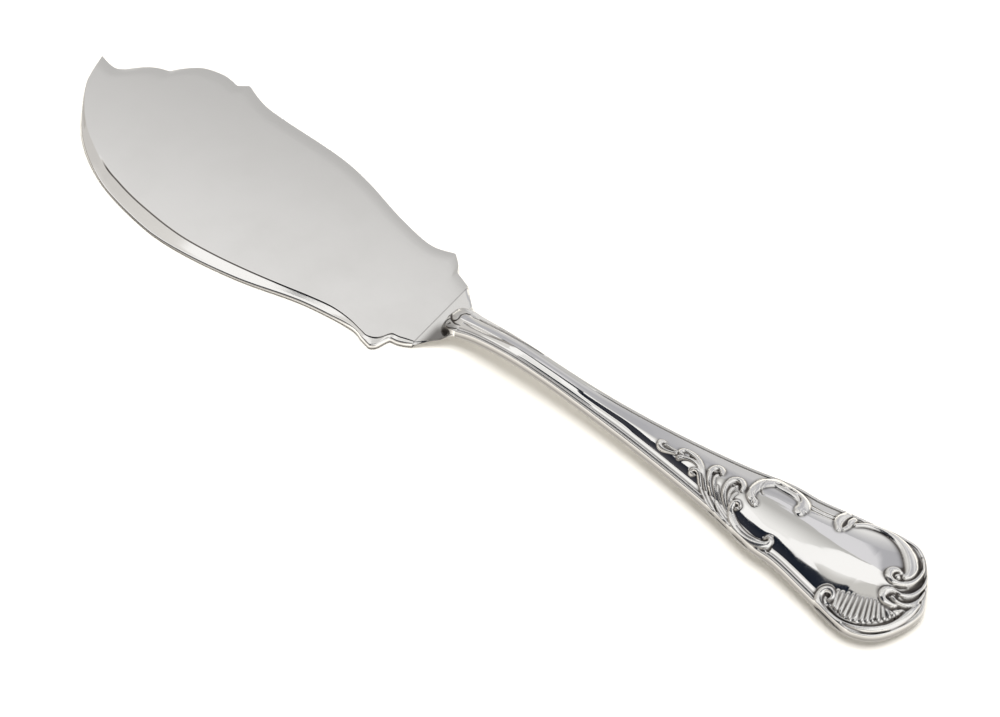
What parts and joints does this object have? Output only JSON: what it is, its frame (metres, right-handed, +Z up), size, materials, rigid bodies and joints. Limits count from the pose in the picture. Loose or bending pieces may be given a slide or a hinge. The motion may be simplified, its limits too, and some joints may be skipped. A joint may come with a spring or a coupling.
{
  "type": "fish serving knife",
  "caption": "Broad-bladed fish serving knife with a shaped spine, bevelled edge and hollow silver handle with scroll, leaf and shell ornament, for lifting and serving fish.",
  "frame": {"origin": "on the blade's flat underside, on the handle's axis, 60 mm in front of the heel crease where blade and neck meet", "axes": "+X along the handle's axis towards the handle's end, +Y towards the blade's spine, +Z up out of the blade's upper face"},
  "size_m": [0.2933, 0.058, 0.011],
  "materials": {
    "blade_silver": "polished silver with fine wear scratches",
    "neck_silver": "polished silver",
    "front_silver": "bright polished silver with toned recesses",
    "back_silver": "bright polished silver",
    "tang_steel": "plain forged steel",
    "pitch_cement": "dull dark pitch"
  },
  "bodies": {
    "root": {"blade": "blade_silver", "bolster": "neck_silver", "handle_front": "front_silver", "handle_back": "back_silver", "tang": "tang_steel", "cement_filling": "pitch_cement"}
  },
  "joints": []
}
